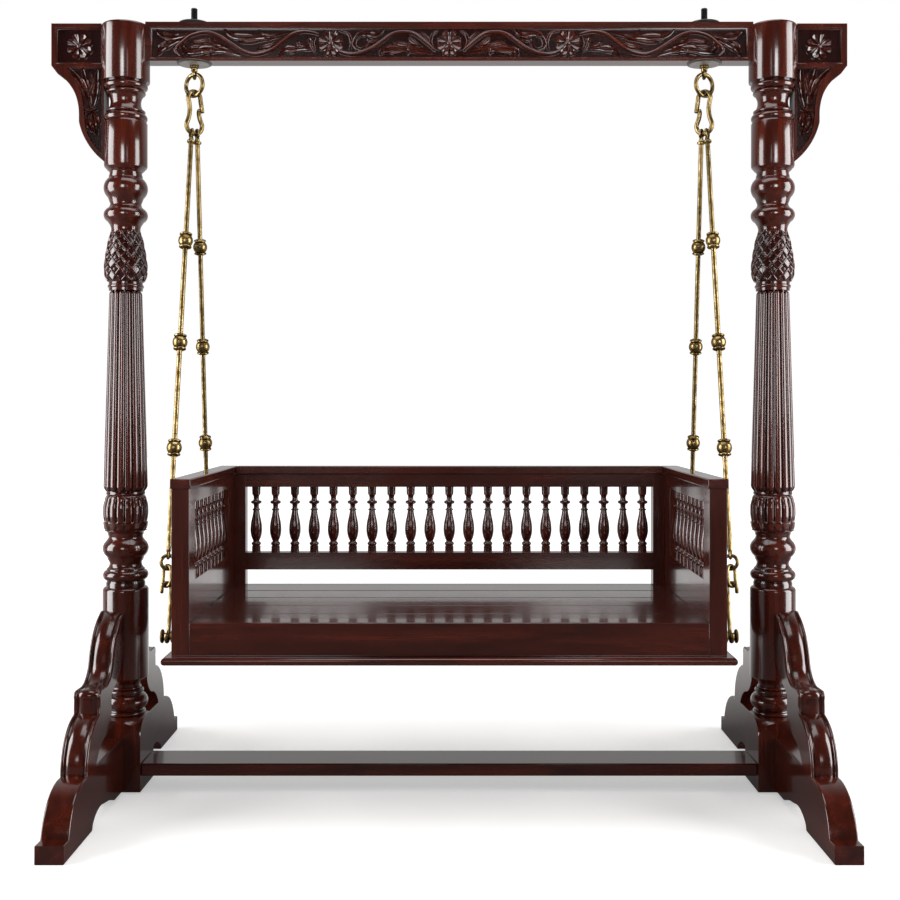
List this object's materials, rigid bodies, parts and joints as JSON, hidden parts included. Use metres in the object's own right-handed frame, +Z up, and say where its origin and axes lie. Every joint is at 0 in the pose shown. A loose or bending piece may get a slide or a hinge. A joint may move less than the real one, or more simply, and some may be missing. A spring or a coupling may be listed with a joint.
{
  "type": "jhoola swing",
  "caption": "Free-standing carved hardwood swing: turned posts on scroll legs carry a beam from which a planked bench with baluster arms and back hangs on beaded brass rods.",
  "frame": {"origin": "on the floor, at the middle of the swing's footprint", "axes": "+X along the beam to the right as seen from the front, +Y from the open front of the bench to its back, +Z up"},
  "size_m": [2.134, 1.122, 2.1],
  "materials": {
    "mahogany": "dark red-brown hardwood under a glossy polish",
    "antique_brass": "aged brass, satin, darker in the recesses",
    "black_steel": "blackened steel, semi-gloss"
  },
  "bodies": {
    "stand": {"beam": "mahogany", "beam_bottom_plates": "black_steel", "beam_top_washers": "black_steel", "hanging_studs": "black_steel", "left_end_bracket": "mahogany", "left_eye": "antique_brass", "left_front_leg": "mahogany", "left_post": "mahogany", "left_rear_leg": "mahogany", "leg_dowels": "mahogany", "right_end_bracket": "mahogany", "right_eye": "antique_brass", "right_front_leg": "mahogany", "right_post": "mahogany", "right_rear_leg": "mahogany", "stretcher": "mahogany", "stud_nuts": "black_steel"},
    "left_ring": {"left_ring": "antique_brass"},
    "right_ring": {"right_ring": "antique_brass"},
    "left_hanger": {"left_s_hook": "antique_brass", "left_front_rod": "antique_brass", "left_rear_rod": "antique_brass", "left_rod_beads": "antique_brass", "left_lower_rings": "antique_brass", "left_lower_links": "antique_brass", "left_lower_hooks": "antique_brass"},
    "right_hanger": {"right_s_hook": "antique_brass", "right_front_rod": "antique_brass", "right_rear_rod": "antique_brass", "right_rod_beads": "antique_brass", "right_lower_rings": "antique_brass", "right_lower_links": "antique_brass", "right_lower_hooks": "antique_brass"},
    "seat": {"back_balusters": "mahogany", "back_cap": "mahogany", "back_lower_rail": "mahogany", "back_stiles": "mahogany", "back_top_rail": "mahogany", "base_mouldings": "mahogany", "deck_battens": "mahogany", "deck_planks": "mahogany", "front_left_seat_post": "mahogany", "front_right_seat_post": "mahogany", "hook_studs": "antique_brass", "left_arm_balusters": "mahogany", "left_arm_cap": "mahogany", "left_arm_lower_rail": "mahogany", "left_arm_top_rail": "mahogany", "rear_left_seat_post": "mahogany", "rear_right_seat_post": "mahogany", "right_arm_balusters": "mahogany", "right_arm_cap": "mahogany", "right_arm_lower_rail": "mahogany", "right_arm_top_rail": "mahogany", "seat_front_rail": "mahogany", "seat_left_rail": "mahogany", "seat_rear_rail": "mahogany", "seat_right_rail": "mahogany"}
  },
  "joints": [
    {"name": "left_swing", "type": "hinge", "parent": "stand", "child": "left_ring", "pos_m": [-0.689, 0, 1.92115], "axis": [1, 0, 0], "range_deg": [-25, 25]},
    {"name": "left_sway", "type": "hinge", "parent": "left_ring", "child": "left_hanger", "pos_m": [-0.689, 0, 1.87565], "axis": [0, 1, 0], "range_deg": [-1.2, 1.2]},
    {"name": "seat_level", "type": "hinge", "parent": "left_hanger", "child": "seat", "pos_m": [-0.694, 0, 0.46], "axis": [0, 1, 0], "range_deg": [-1.2, 1.2]},
    {"name": "right_swing", "type": "hinge", "parent": "stand", "child": "right_ring", "pos_m": [0.689, 0, 1.92115], "axis": [1, 0, 0], "range_deg": [-25, 25]},
    {"name": "right_sway", "type": "hinge", "parent": "right_ring", "child": "right_hanger", "pos_m": [0.689, 0, 1.87565], "axis": [0, 1, 0], "range_deg": [-1.2, 1.2]}
  ],
  "couplings": [
    {"joint": "right_swing", "follows": "left_swing", "ratio": 1},
    {"joint": "right_sway", "follows": "left_sway", "ratio": 1},
    {"joint": "seat_level", "follows": "left_sway", "ratio": -0.9928}
  ]
}
